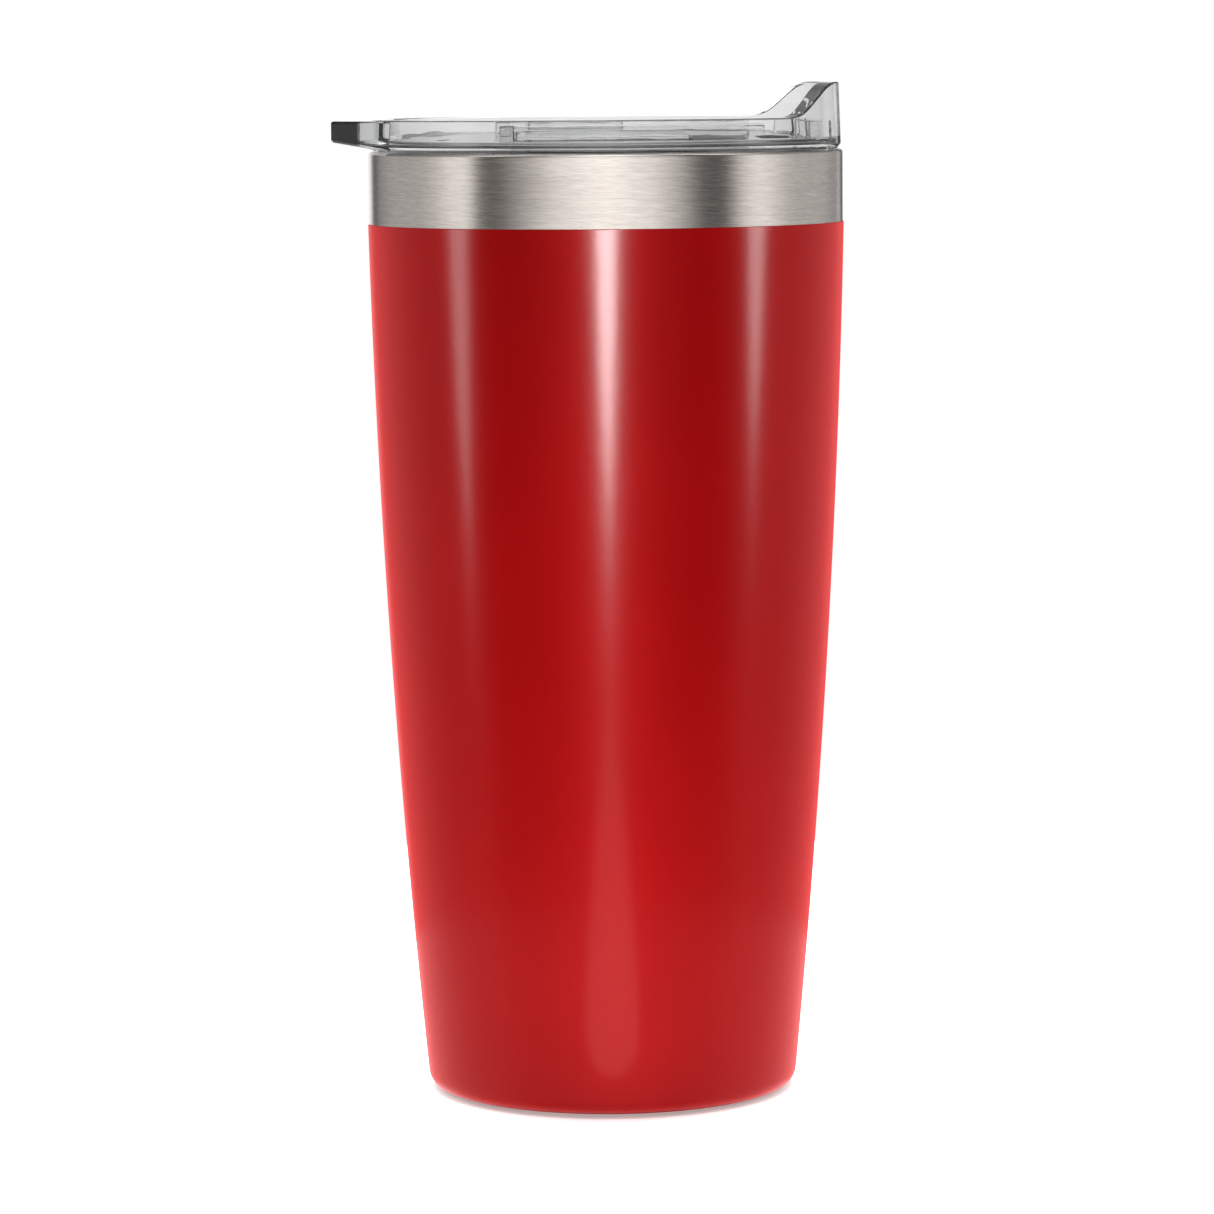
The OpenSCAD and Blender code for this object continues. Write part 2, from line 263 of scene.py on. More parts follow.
def slab(name, outline, bottom, top, low_r=0.3, high_r=0.3, steps=4):
    """Plate over a counter-clockwise outline, with its edges rounded.

    bottom and top are heights, or functions of a point that give one.
    """
    low = bottom if callable(bottom) else lambda p: bottom
    high = top if callable(top) else lambda p: top
    rings = []
    for sine, cosine in quarter_turn(steps):
        edge = inset(outline, low_r * (1 - sine))
        rings.append([(x, y, low((x, y)) + low_r * (1 - cosine)) for x, y in edge])
    for sine, cosine in quarter_turn(steps):
        edge = inset(outline, high_r * (1 - cosine))
        rings.append([(x, y, high((x, y)) - high_r * (1 - sine)) for x, y in edge])
    return loft(name, rings)


def combine(base, others, operation):
    """Joins solids to base, or cuts them out of it, and removes them."""
    for other in others:
        step = base.modifiers.new("combine", "BOOLEAN")
        step.operation = operation
        step.solver = "EXACT"
        step.object = other
    bpy.context.view_layer.update()
    graph = bpy.context.evaluated_depsgraph_get()
    mesh = bpy.data.meshes.new_from_object(base.evaluated_get(graph))
    base.modifiers.clear()
    base.data = mesh
    for other in others:
        bpy.data.objects.remove(other)
    return base


def dress(obj, body, node, material):
    """Finishes a piece: metres, smooth shading, material and body, and hides the CAD node it
    stands for.
    """
    obj.data.transform(Matrix.Scale(MM, 4))
    obj.data.shade_smooth()
    obj.data.set_sharp_from_angle(angle=math.radians(CREASE))
    even = obj.modifiers.new("even_normals", "WEIGHTED_NORMAL")
    even.keep_sharp = True
    obj.data.materials.clear()
    obj.data.materials.append(material)
    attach(obj, body)
    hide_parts(node)
    return obj


# ---- Materials ----

def node_adder(tree):
    """Function that adds a node to a tree, with its settings and its inputs set or linked."""
    def add(kind, inputs=None, **settings):
        node = tree.nodes.new(kind)
        for key, value in settings.items():
            setattr(node, key, value)
        for key, value in (inputs or {}).items():
            if isinstance(value, bpy.types.NodeSocket):
                tree.links.new(value, node.inputs[key])
            else:
                node.inputs[key].default_value = value
        return node

    return add


def new_material(name):
    """Empty material with a Principled shader, and a function that adds linked nodes to it."""
    material = bpy.data.materials.new(name)
    material.use_nodes = True
    tree = material.node_tree
    return material, tree, tree.nodes["Principled BSDF"], node_adder(tree)


def set_inputs(shader, **values):
    """Constant inputs of a Principled shader, named with _ for spaces."""
    for key, value in values.items():
        shader.inputs[key.replace("_", " ")].default_value = value


def stretched_noise(add, scale, detail=3.0, roughness=0.55, tilt=0.0):
    """Noise over the piece's own coordinates, with cells per metre along X, Y and Z.

    tilt turns it about Y, in degrees.
    """
    place = add("ShaderNodeTexCoord")
    spread = add("ShaderNodeMapping", {
        "Vector": place.outputs["Object"], "Rotation": (0, math.radians(tilt), 0),
        "Scale": [1 / cells for cells in scale]}, vector_type="TEXTURE")
    return add("ShaderNodeTexNoise", {
        "Vector": spread.outputs["Vector"], "Scale": 1.0, "Detail": detail,
        "Roughness": roughness}).outputs["Fac"]


def spread_value(add, value, low, high):
    """A 0 to 1 value spread over low to high."""
    return add("ShaderNodeMapRange", {
        "Value": value, "To Min": low, "To Max": high}).outputs["Result"]


def blend_colours(add, value, low, high):
    """Two colours blended by a value that mostly lies between 0.3 and 0.7."""
    ramp = add("ShaderNodeValToRGB", {"Fac": value})
    ramp.color_ramp.elements[0].position = 0.3
    ramp.color_ramp.elements[0].color = (*low, 1)
    ramp.color_ramp.elements[1].position = 0.7
    ramp.color_ramp.elements[1].color = (*high, 1)
    return ramp.outputs["Color"]


def turned_steel(name, low, high, rough, streak_bump, aniso):
    """Steel brushed in fine rings round the Z axis."""
    material, tree, shader, add = new_material(name)
    set_inputs(shader, Metallic=1.0, Anisotropic=aniso, Anisotropic_Rotation=0.25)
    fine = stretched_noise(add, (300, 300, 5200), detail=3.0, roughness=0.7, tilt=2.5)
    broad = stretched_noise(add, (80, 80, 1500), detail=2.0, tilt=1.5)
    both = add("ShaderNodeMix", {0: 0.3, 2: fine, 3: broad}).outputs[0]
    tree.links.new(blend_colours(add, both, low, high), shader.inputs["Base Color"])
    tree.links.new(spread_value(add, both, *rough), shader.inputs["Roughness"])
    bump = add("ShaderNodeBump", {
        "Height": fine, "Strength": streak_bump, "Distance": 0.00004})
    tree.links.new(bump.outputs["Normal"], shader.inputs["Normal"])
    tangent = add("ShaderNodeTangent", direction_type="RADIAL", axis="Z")
    tree.links.new(tangent.outputs["Tangent"], shader.inputs["Tangent"])
    return material


def red_lacquer():
    """Red metallic coat: its broad sheen is red, and only a thin clear top coat mirrors white."""
    material, tree, shader, add = new_material("red_lacquer")
    set_inputs(
        shader, Metallic=0.087, IOR=1.5, Specular_IOR_Level=0.02, Coat_Weight=0.25,
        Coat_Roughness=0.17, Coat_IOR=1.3, Sheen_Weight=0.65, Sheen_Roughness=0.4)
    shader.inputs["Sheen Tint"].default_value = (1.0, 0.08, 0.08, 1)
    shader.inputs["Specular Tint"].default_value = (1.0, 0.02, 0.02, 1)
    cloud = stretched_noise(add, (26, 26, 18), detail=4.0)
    colour = blend_colours(add, cloud, (0.175, 0.0003, 0.0006), (0.200, 0.0005, 0.0009))
    tree.links.new(colour, shader.inputs["Base Color"])
    grain = stretched_noise(add, (900, 900, 900), detail=2.0)
    tree.links.new(spread_value(add, grain, 0.50, 0.60), shader.inputs["Roughness"])
    peel = stretched_noise(add, (420, 420, 420), detail=2.0)
    bump = add("ShaderNodeBump", {"Height": peel, "Strength": 0.05, "Distance": 0.0002})
    tree.links.new(bump.outputs["Normal"], shader.inputs["Normal"])
    tree.links.new(bump.outputs["Normal"], shader.inputs["Coat Normal"])
    return material


def clear_plastic(name, tint_depth):
    """Polished moulding with faint flow lines and a light smoke tint, which shows where the
    plastic is deep. tint_depth is its density per metre.
    """
    material, tree, shader, add = new_material(name)
    set_inputs(shader, Transmission_Weight=1.0, IOR=1.53)
    shader.inputs["Base Color"].default_value = (1, 1, 1, 1)
    haze = stretched_noise(add, (300, 300, 900), detail=3.0)
    tree.links.new(spread_value(add, haze, 0.0, 0.05), shader.inputs["Roughness"])
    flow = stretched_noise(add, (70, 70, 260), detail=2.0)
    bump = add("ShaderNodeBump", {"Height": flow, "Strength": 0.12, "Distance": 0.0003})
    tree.links.new(bump.outputs["Normal"], shader.inputs["Normal"])
    body = add("ShaderNodeVolumeAbsorption", {
        "Color": (0.49, 0.50, 0.51, 1), "Density": tint_depth})
    tree.links.new(body.outputs["Volume"], tree.nodes["Material Output"].inputs["Volume"])
    return material


def silicone():
    """Milky silicone rubber."""
    material, tree, shader, add = new_material("silicone")
    set_inputs(shader, Transmission_Weight=0.35, IOR=1.41, Subsurface_Weight=0.5)
    shader.inputs["Subsurface Radius"].default_value = (0.002, 0.002, 0.002)
    dust = stretched_noise(add, (500, 500, 500), detail=3.0)
    tree.links.new(
        blend_colours(add, dust, (0.50, 0.51, 0.52), (0.58, 0.59, 0.60)),
        shader.inputs["Base Color"])
    tree.links.new(spread_value(add, dust, 0.38, 0.55), shader.inputs["Roughness"])
    bump = add("ShaderNodeBump", {"Height": dust, "Strength": 0.1, "Distance": 0.0001})
    tree.links.new(bump.outputs["Normal"], shader.inputs["Normal"])
    return material


def bright_copper():
    """Smooth copper foil with faint rolling lines."""
    material, tree, shader, add = new_material("bright_copper")
    set_inputs(shader, Metallic=1.0)
    lines = stretched_noise(add, (60, 60, 1500), detail=3.0)
    tree.links.new(
        blend_colours(add, lines, (0.80, 0.40, 0.24), (0.90, 0.50, 0.33)),
        shader.inputs["Base Color"])
    tree.links.new(spread_value(add, lines, 0.15, 0.32), shader.inputs["Roughness"])
    return material


def dull_powder():
    """Pressed getter powder."""
    material, tree, shader, add = new_material("dull_powder")
    grains = stretched_noise(add, (2500, 2500, 2500), detail=4.0)
    tree.links.new(
        blend_colours(add, grains, (0.06, 0.06, 0.065), (0.16, 0.16, 0.17)),
        shader.inputs["Base Color"])
    tree.links.new(spread_value(add, grains, 0.75, 0.95), shader.inputs["Roughness"])
    bump = add("ShaderNodeBump", {"Height": grains, "Strength": 0.5, "Distance": 0.0002})
    tree.links.new(bump.outputs["Normal"], shader.inputs["Normal"])
    return material


def solder_glass():
    """Dark solder glass."""
    material, tree, shader, add = new_material("solder_glass")
    swirl = stretched_noise(add, (400, 400, 400), detail=3.0)
    tree.links.new(
        blend_colours(add, swirl, (0.02, 0.022, 0.03), (0.06, 0.065, 0.075)),
        shader.inputs["Base Color"])
    tree.links.new(spread_value(add, swirl, 0.05, 0.2), shader.inputs["Roughness"])
    return material


STEEL = turned_steel(
    "turned_steel", (0.48, 0.433, 0.40), (0.72, 0.668, 0.625), (0.16, 0.27), 0.35, 0.6)
LINER = turned_steel(
    "satin_steel", (0.56, 0.55, 0.54), (0.68, 0.67, 0.66), (0.28, 0.42), 0.15, 0.4)
LACQUER = red_lacquer()
CLEAR = clear_plastic("clear_plastic", 48.0)
CLEAREST = clear_plastic("clearest_plastic", 16.0)
SILICONE = silicone()


# ---- Cup ----

def shell_r(z):
    """Outside radius of the shell at a height."""
    t = max(0.0, (COAT_TOP - z) / COAT_TOP)
    return RIM_R - (RIM_R - BASE_R) * (TAPER_MIX * t + (1 - TAPER_MIX) * t * t)


def liner_r(z):
    """Inside radius of the liner at a height."""
    return shell_r(z) - DOUBLE_WALL


def taper_line(z0, z1, off, steps=40):
    """Points of the taper from z0 up to z1, moved outwards by off."""
    heights = [z0 + (z1 - z0) * i / steps for i in range(steps + 1)]
    return [(shell_r(z) + off, z) for z in heights]


def arc(x, z, radius, a0, a1, steps=10):
    """Points of an arc, angles in degrees."""
    angles = [math.radians(a0 + (a1 - a0) * i / steps) for i in range(steps + 1)]
    return [(x + radius * math.cos(a), z + radius * math.sin(a)) for a in angles]


def shell_side(off, foot_r):
    """Outline of the shell's outside from its foot to the top of the taper."""
    corner_x = shell_r(CORNER_R) - CORNER_R
    corner_z = FOOT_Z + CORNER_R
    return (
        [(foot_r, FOOT_Z - off)]
        + arc(corner_x, corner_z, CORNER_R + off, -90, -6)
        + taper_line(corner_z + 1, COAT_TOP, off))


def make_shell():
    """Outer wall, from its foot to the weld on the lip."""
    lip_x = RIM_R - LIP_OUT_R
    lip_z = CUP_H - LIP_OUT_R
    outline = (
        shell_side(0, FOOT_IN_R)
        + arc(lip_x, lip_z, LIP_OUT_R, 0, 90)
        + [(SEAM_R + 2 * SEAM_DEPTH, CUP_H), (SEAM_R, CUP_H - SEAM_DEPTH),
           (SEAM_R, CUP_H - WALL_T)]
        + arc(lip_x, lip_z, LIP_OUT_R - WALL_T, 90, 0)
        + shell_side(-WALL_T, FOOT_IN_R)[::-1])
    dress(spin("steel_shell", outline), "cup", "outer_shell", STEEL)


def make_coat():
    """Coat over the shell, with a soft upper edge below the bare band. Returns it."""
    edge = [(1, 1), (0.85, 0.4), (0.4, 0.06), (0, 0)]   # shares of its thickness and height
    outline = (
        shell_side(COAT_T, COAT_END_R)[:-1]
        + [(RIM_R + COAT_T * out, COAT_TOP - COAT_EDGE * down) for out, down in edge]
        + shell_side(0, COAT_END_R)[::-1][1:])
    return dress(spin("red_coat", outline), "cup", "powder_coat", LACQUER)


def make_liner():
    """Inner wall, from the weld on the lip down to the weld above the floor."""
    mouth_x = MOUTH_R + LIP_IN_R
    mouth_z = CUP_H - LIP_IN_R
    outline = (
        taper_line(WELD_Z, COAT_TOP, WALL_T - DOUBLE_WALL)
        + arc(mouth_x, mouth_z, LIP_IN_R - WALL_T, 180, 90)
        + [(SEAM_R, CUP_H - WALL_T), (SEAM_R, CUP_H - SEAM_DEPTH),
           (SEAM_R - 2 * SEAM_DEPTH, CUP_H)]
        + arc(mouth_x, mouth_z, LIP_IN_R, 90, 180)
        + taper_line(WELD_Z + WELD_HALF, COAT_TOP, -DOUBLE_WALL)[::-1]
        + [(liner_r(WELD_Z) + SEAM_DEPTH, WELD_Z)])
    dress(spin("liner_wall", outline), "cup", "inner_liner", LINER)


def make_liner_floor():
    """Floor of the inside, with a round corner that is welded to the liner."""
    corner_z = FLOOR_Z + LINER_CORNER_R
    corner_x = liner_r(corner_z) - LINER_CORNER_R
    weld_r = liner_r(WELD_Z)
    outline = (
        [(HUB_R, FLOOR_Z - WALL_T)]
        + arc(corner_x, corner_z, LINER_CORNER_R + WALL_T, -90, -5)
        + [(weld_r + WALL_T, WELD_Z), (weld_r + SEAM_DEPTH, WELD_Z),
           (weld_r, WELD_Z - WELD_HALF)]
        + arc(corner_x, corner_z, LINER_CORNER_R, -5, -90)
        + [(HUB_R, FLOOR_Z)])
    floor = spin("liner_floor", outline, closed=False)
    dress(floor, "cup", "inner_base", LINER)


def make_base_cap():
    """Pan under the cup: it stands on a ring, and its middle is raised."""
    step_x = CAP_RING_R - CAP_STEP_IN
    step_z = CAP_RISE - CAP_STEP_R
    outline = (
        [(HUB_R, CAP_RISE)]
        + arc(step_x, step_z, CAP_STEP_R, 90, 30)
        + rounded([(CAP_RING_R, 0, 0), (CAP_RING_R + 0.4, 0, 0), (CAP_R, 0, 0.3),
                   (CAP_R, FOOT_Z, 0), (CAP_RING_R + 0.3, FOOT_Z, 0)])
        + arc(step_x, step_z, CAP_STEP_R + WALL_T, 30, 90)
        + [(HUB_R, CAP_RISE + WALL_T)])
    pan = spin("base_pan", outline, closed=False)
    dress(pan, "cup", "base_cap", STEEL)


# ---- Lid ----

# The rim's height along X, from the plain rim to the spout's top
SPOUT_SIDE = [
    (31.5, RIM_TOP), (33.1, RIM_TOP + 0.35), (34.4, RIM_TOP + 1), (38.9, SPOUT_TOP - 1.1),
    (40.5, SPOUT_TOP - 0.2), (41.4, SPOUT_TOP)]


def rim_height(x):
    """Height of the lid's rim over a point of the X axis: it rises to the spout."""
    if x <= SPOUT_SIDE[0][0]:
        return RIM_TOP
    for (x0, z0), (x1, z1) in zip(SPOUT_SIDE, SPOUT_SIDE[1:]):
        if x <= x1:
            t = (x - x0) / (x1 - x0)
            return z0 + (z1 - z0) * t
    return SPOUT_TOP


def smooth_rim_height(x):
    """rim_height with its corners smoothed over 1.6 mm."""
    window = [-0.8 + 0.2 * i for i in range(9)]
    return sum(rim_height(x + dx) for dx in window) / len(window)


def lid_outline(angle):
    """The lid's section at an angle: from the deck's underside round the plug, flange and rim."""
    reach = (FLANGE_R - 0.3) * math.cos(angle)
    height = smooth_rim_height(reach)
    height_in = smooth_rim_height(reach + SPOUT_ADVANCE)
    top_share = (height - RIM_TOP) / (SPOUT_TOP - RIM_TOP)
    top_out = FLANGE_R - 0.2 - 0.2 * top_share
    top_in = RIM_IN_R - SPOUT_THICKER * top_share
    return rounded([
        (PLUG_IN_R - 3, DECK_Z - DECK_T, 0),
        (PLUG_IN_R, DECK_Z - DECK_T, 0.8),
        (PLUG_IN_R, PLUG_Z, 0.5),
        (PLUG_R, PLUG_Z, 0.5),
        (PLUG_R, GROOVE_Z0, 0.15),
        (GROOVE_R, GROOVE_Z0, 0.15),
        (GROOVE_R, GROOVE_Z1, 0.15),
        (PLUG_R, GROOVE_Z1, 0.15),
        (PLUG_R, FLANGE_Z, 0.3),
        (FLANGE_R - BEVEL_W, FLANGE_Z, 0.12),
        (FLANGE_R, FLANGE_Z + BEVEL_H, 0.15),
        (top_out, height, 0.35),
        (top_in, height_in, 0.4),
        (RIM_IN_R, DECK_Z, 1.2),
        (RIM_IN_R - 3, DECK_Z, 0)], closed=False)


def rounded_rect(x0, x1, width, r0, r1, steps=8):
    """Counter-clockwise plate outline, symmetric about X, with corner radii at each end."""
    half = width / 2
    return rounded([(x0, -half, r0), (x1, -half, r1), (x1, half, r1), (x0, half, r0)], steps)


def tab_solid():
    """Lifting tab: a wedge that thins towards its end."""
    half = TAB_W / 2
    outward = Vector((-math.sin(TAB_FLARE), -math.cos(TAB_FLARE)))
    along = Vector((math.cos(TAB_FLARE), -math.sin(TAB_FLARE)))
    away = outward.dot(Vector((-TAB_REACH, -half)))     # of the side's line from the axis
    root_r = FLANGE_R - 0.3
    root = outward * away - along * math.sqrt(root_r ** 2 - away ** 2)
    inner = root * ((FLANGE_R - 1.8) / root_r)
    drop = (TAB_TOP - TAB_END_T - FLANGE_Z) / (TAB_REACH - FLANGE_R)

    def under(point):
        return FLANGE_Z + drop * max(0.0, -point[0] - FLANGE_R)

    corners = [(-TAB_REACH, -half, 1.2), (*root, 0.65), (*inner, 0.65)]
    behind = arc(0, 0, inner.length, *(
        180 + math.degrees(math.atan2(y, -inner.x)) for y in (-inner.y, inner.y)), 12)
    outline = rounded(
        corners + [(x, y, 0) for x, y in behind[1:-1]]
        + [(x, -y, radius) for x, y, radius in reversed(corners)], 8)
    return slab("tab", outline, under, TAB_TOP, TAB_EDGE_R, TAB_EDGE_R, steps=6)


def bar(name, low, high, bevel):
    """Box with rounded edges."""
    bm = bmesh.new()
    bmesh.ops.create_cube(bm, size=1)
    size = Vector(high) - Vector(low)
    middle = (Vector(high) + Vector(low)) / 2
    for v in bm.verts:
        v.co = middle + Vector(a * b for a, b in zip(v.co, size))
    bmesh.ops.bevel(bm, geom=bm.edges[:], offset=bevel, segments=3, profile=0.5, affect="EDGES")
    return object_from(bm, name)


def rail_solids():
    """Guides that hold the slider's edges down, with hooks behind its tail."""
    out = []
    inner_y = SLIDER_W / 2 + RAIL_SIDE_GAP
    lip_z = slider_low.z + SLIDER_T + RAIL_TOP_GAP
    top_z = lip_z + RAIL_LIP_T
    root_z = DECK_Z - ROOT
    for side in (-1, 1):
        section = rounded([
            (inner_y, root_z, 0), (inner_y + RAIL_T, root_z, 0),
            (inner_y + RAIL_T, top_z, 0.45), (inner_y - RAIL_LIP, top_z, 0.3),
            (inner_y - RAIL_LIP, lip_z, 0.12), (inner_y, lip_z, 0.1)], 4)
        rings = [[(x, side * y, z) for y, z in section] for x in (RAIL_X0, RAIL_X1)]
        out.append(loft("rail", rings))
        y0, y1 = sorted((side * (inner_y - HOOK_REACH), side * (inner_y + RAIL_T / 2)))
        out.append(bar("hook", (RAIL_X0, y0, root_z), (RAIL_X0 + HOOK_L, y1, top_z), 0.3))
    return out


def rib_solids():
    """Ribs inside the spout: the middle two stop the slider's nose."""
    out = []
    for x, y in RIBS:
        far_x = math.sqrt((RIM_IN_R + RIB_REACH) ** 2 - y ** 2)
        for side in (-1, 1):
            low = (x, side * y - RIB_T / 2, DECK_Z - ROOT)
            high = (far_x, side * y + RIB_T / 2, RIB_TOP)
            out.append(bar("rib", low, high, 0.3))
    return out


def flared_cutter(name, outline, flare=0.5, steps=5):
    """Cutter through the deck whose ends flare, so that the hole's edges come out rounded."""
    low, high = DECK_Z - DECK_T, DECK_Z
    rings = [[(x, y, low - 1) for x, y in inset(outline, -flare)]]
    for sine, cosine in quarter_turn(steps):
        edge = inset(outline, -flare * (1 - sine))
        rings.append([(x, y, low + flare * (1 - cosine)) for x, y in edge])
    for sine, cosine in quarter_turn(steps):
        edge = inset(outline, -flare * (1 - cosine))
        rings.append([(x, y, high - flare * (1 - sine)) for x, y in edge])
    rings.append([(x, y, high + 1) for x, y in inset(outline, -flare)])
    return loft(name, rings)


def circle_outline(x, y, radius, steps=40):
    """Counter-clockwise circle."""
    return [
        (x + radius * math.cos(TAU * i / steps), y + radius * math.sin(TAU * i / steps))
        for i in range(steps)]


def make_lid():
    """The clear moulding."""
    lid = spin("clear_lid", lid_outline, AROUND_LID, closed=False)
    combine(lid, [tab_solid()] + rail_solids() + rib_solids(), "UNION")
    half = SLOT_W / 2
    slot = rounded_rect(SLOT_X - half, SLOT_X + half, SLOT_L, half, half, 16)
    vent = circle_outline(VENT_X, 0, VENT_R)
    combine(lid, [flared_cutter("slot", slot), flared_cutter("vent", vent, 0.3)], "DIFFERENCE")
    dress(lid, "lid", "lid_body", CLEAR)
    lid.visible_shadow = False      # light reaches the inside of the cup through it


def make_gasket():
    """Silicone ring in the plug's groove."""
    low, high = box_mm("lid_gasket")
    back_r = GROOVE_R + GAP
    body_r = PLUG_R - GAP
    pitch = (high.z - low.z) / FINS
    corners = [(back_r, low.z, 0.1), (body_r, low.z, 0.1)]
    for i in range(FINS):
        z = low.z + i * pitch
        corners += [
            (body_r, z + 0.3, 0.05), (high.x, z + 0.6, 0.15),
            (high.x, z + 0.95, 0.15), (body_r, z + 1.35, 0.05)]
    corners += [(body_r, high.z, 0.1), (back_r, high.z, 0.1)]
    gasket = spin("gasket", rounded(corners, 4))
    dress(gasket, "lid", "lid_gasket", SILICONE)


# ---- Slider ----

def seal_outline(gap=0.0):
    """Outline of the slider's seal, or of its pocket, which leaves a gap round the seal."""
    width = seal_high.y - seal_low.y + 2 * gap
    return rounded_rect(seal_low.x - gap, seal_high.x + gap, width, *SEAL_ENDS_R, 10)


def make_slider():
    """The sliding closure: a plate with a ridged thumb block and a pocket for its seal."""
    base_z = slider_low.z
    plate_top = base_z + SLIDER_T
    grip_top = plate_top + GRIP_H
    plate = slab(
        "clear_slider",
        rounded_rect(slider_low.x, slider_high.x, SLIDER_W, 2, 5, 10), base_z, plate_top)
    block = slab(
        "block", rounded_rect(GRIP_X - GRIP_L / 2, GRIP_X + GRIP_L / 2, GRIP_W, 2, 2, 8),
        plate_top - ROOT, grip_top, 0.05, 0.4)
    ridges = []
    for i in range(RIDGES):
        x = GRIP_X + (i - (RIDGES - 1) / 2) * RIDGE_PITCH
        outline = rounded_rect(x - RIDGE_W / 2, x + RIDGE_W / 2, GRIP_W - 4, 0.45, 0.45, 6)
        ridges.append(slab(
            "ridge", outline, grip_top - ROOT, grip_top + RIDGE_H, 0.05, 0.38, 5))
    combine(plate, [block] + ridges, "UNION")
    cutter = loft("pocket", [
        [(x, y, z) for x, y in seal_outline(GAP)] for z in (base_z - 1, seal_high.z + 0.02)])
    combine(plate, [cutter], "DIFFERENCE")
    dress(plate, "slider", "slider", CLEAREST)
    plate.visible_shadow = False


def make_slider_seal():
    """Silicone pad under the slider's nose."""
    pad = slab("slider_pad", seal_outline(), seal_low.z, seal_high.z, 0.25, 0.05)
    dress(pad, "slider", "slider_seal", SILICONE)


# ---- Parts sealed inside the walls keep their CAD meshes ----

def dress_hidden_parts():
    """Puts a material on each part that only the CAD model shows."""
    copper = bright_copper()
    hidden = {
        "copper_wrap": copper, "copper_disc": copper, "getter_cup": LINER,
        "getter_pellet": dull_powder(), "vacuum_base": LINER, "seal_bead": solder_glass()}
    for node, material in hidden.items():
        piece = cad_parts[node]
        piece.data.materials.clear()
        piece.data.materials.append(material)


# ---- Stage ----

CAMERA_BEARING = -4.0       # degrees round the object, 0 looking along +Y
CAMERA_DISTANCE = 0.937     # from the cup's axis, in metres
CAMERA_HEIGHT = 0.1902
CAMERA_TILT = 6.1           # degrees down
CAMERA_YAW = 0.023          # degrees to the left
CAMERA_ROLL = 0.46          # degrees
CAMERA_LENS = 149.7         # millimetres on a 36 mm sensor

# Brightness round the studio that surfaces reflect at eye level, by degrees to the right of
# the camera
REFLECTED_ROUND = [
    (-180, 1.15), (-162, 1.1), (-156, 0.3), (-151, 0.06), (-146, 0.24), (-141, 0.36),
    (-125, 0.55), (-101, 0.60), (-90, 0.79), (-80, 1.22), (-70, 1.3), (-63, 0.14),
    (-53, 0.12), (-37, 0.65), (-22, 1.25), (0, 1.75), (22, 1.25), (37, 0.63),
    (46, 0.12), (60, 0.06), (70, 1.0), (80, 1.35), (90, 1.0), (101, 0.66), (128, 0.60),
    (142, 0.42), (152, 0.3), (156, 0.9), (161, 0.08), (168, 0.1), (180, 1.15)]
# Brightness round the studio that is seen through the clear parts
SEEN_ROUND = [
    (-180, 0.92), (-150, 0.92), (-128, 0.16), (-70, 0.11), (0, 0.3), (70, 0.11), (128, 0.16),
    (150, 0.92), (180, 0.92)]
# What REFLECTED_ROUND is multiplied by, by degrees below the horizon and above it
REFLECTED_FADE = [(0, 1.0), (8, 1.0), (14, 0.4), (20, 0.3), (26, 0.3), (45, 0.8), (90, 0.8)]
REFLECTED_RISE = [(0, 1.0), (8, 1.0), (14, 0.55), (40, 0.55), (55, 1.4), (90, 1.4)]
# What the pale table adds to it, by degrees below the horizon
REFLECTED_BELOW = [(0, 0.0), (11, 0.0), (17, 0.45), (21, 1.5), (26, 1.6), (40, 0.3), (90, 0.3)]
# What the bright ceiling adds to what is seen through the clear parts, by degrees up
SEEN_ABOVE = [(0, 0.0), (36, 0.0), (54, 1.25), (90, 1.25)]
# Brightness round the studio that lights matt surfaces
LIT_ROUND = [
    (-180, 1.3), (-150, 2.3), (-120, 3.2), (-70, 0.5), (0, 0.4), (70, 0.5), (120, 3.2),
    (150, 2.3), (180, 1.3)]


def bearing(degrees, distance, height):
    """Point at a bearing from the camera's own direction, positive to the camera's right."""
    a = math.radians(CAMERA_BEARING + degrees)
    return Vector((math.sin(a) * distance, -math.cos(a) * distance, height))


def make_camera():
    """Camera of the main view."""
    data = bpy.data.cameras.new("camera")
    data.sensor_width = 36.0
    data.lens = CAMERA_LENS
    camera = bpy.data.objects.new("camera", data)
    bpy.context.scene.collection.objects.link(camera)
    turn = (
        Matrix.Rotation(math.radians(CAMERA_BEARING + CAMERA_YAW), 4, "Z")
        @ Matrix.Rotation(math.radians(90 - CAMERA_TILT), 4, "X")
        @ Matrix.Rotation(math.radians(-CAMERA_ROLL), 4, "Z"))
    camera.matrix_world = (
        Matrix.Translation(bearing(0, CAMERA_DISTANCE, CAMERA_HEIGHT)) @ turn)
    data.clip_start = 0.05
    data.clip_end = 20.0
    bpy.context.scene.camera = camera


def softbox(name, place, width, height, power, aim=Vector((0, 0, 0.09))):
    """Oval soft light at a place, turned towards aim."""
    data = bpy.data.lights.new(name, "AREA")
    data.shape = "ELLIPSE"
    data.size = width
    data.size_y = height
    data.energy = power
    light = bpy.data.objects.new(name, data)
    bpy.context.scene.collection.objects.link(light)
    light.location = place
    light.rotation_mode = "QUATERNION"
    light.rotation_quaternion = (aim - place).to_track_quat("-Z", "Y")
    light.visible_camera = False
    return light


def make_floor(radius=0.30):
    """Small round pale table top, made in metres."""
    bm = bmesh.new()
    bmesh.ops.create_circle(bm, cap_ends=True, radius=radius, segments=96)
    floor = object_from(bm, "floor")
    material, tree, shader, add = new_material("floor")
    set_inputs(shader, Roughness=0.8, Emission_Strength=0.3)
    shader.inputs["Emission Color"].default_value = (1, 1, 1, 1)
    grain = stretched_noise(add, (200, 200, 200))
    tree.links.new(
        blend_colours(add, grain, (0.93, 0.93, 0.93), (0.95, 0.95, 0.95)),
        shader.inputs["Base Color"])
    floor.data.materials.append(material)
    floor.visible_glossy = False


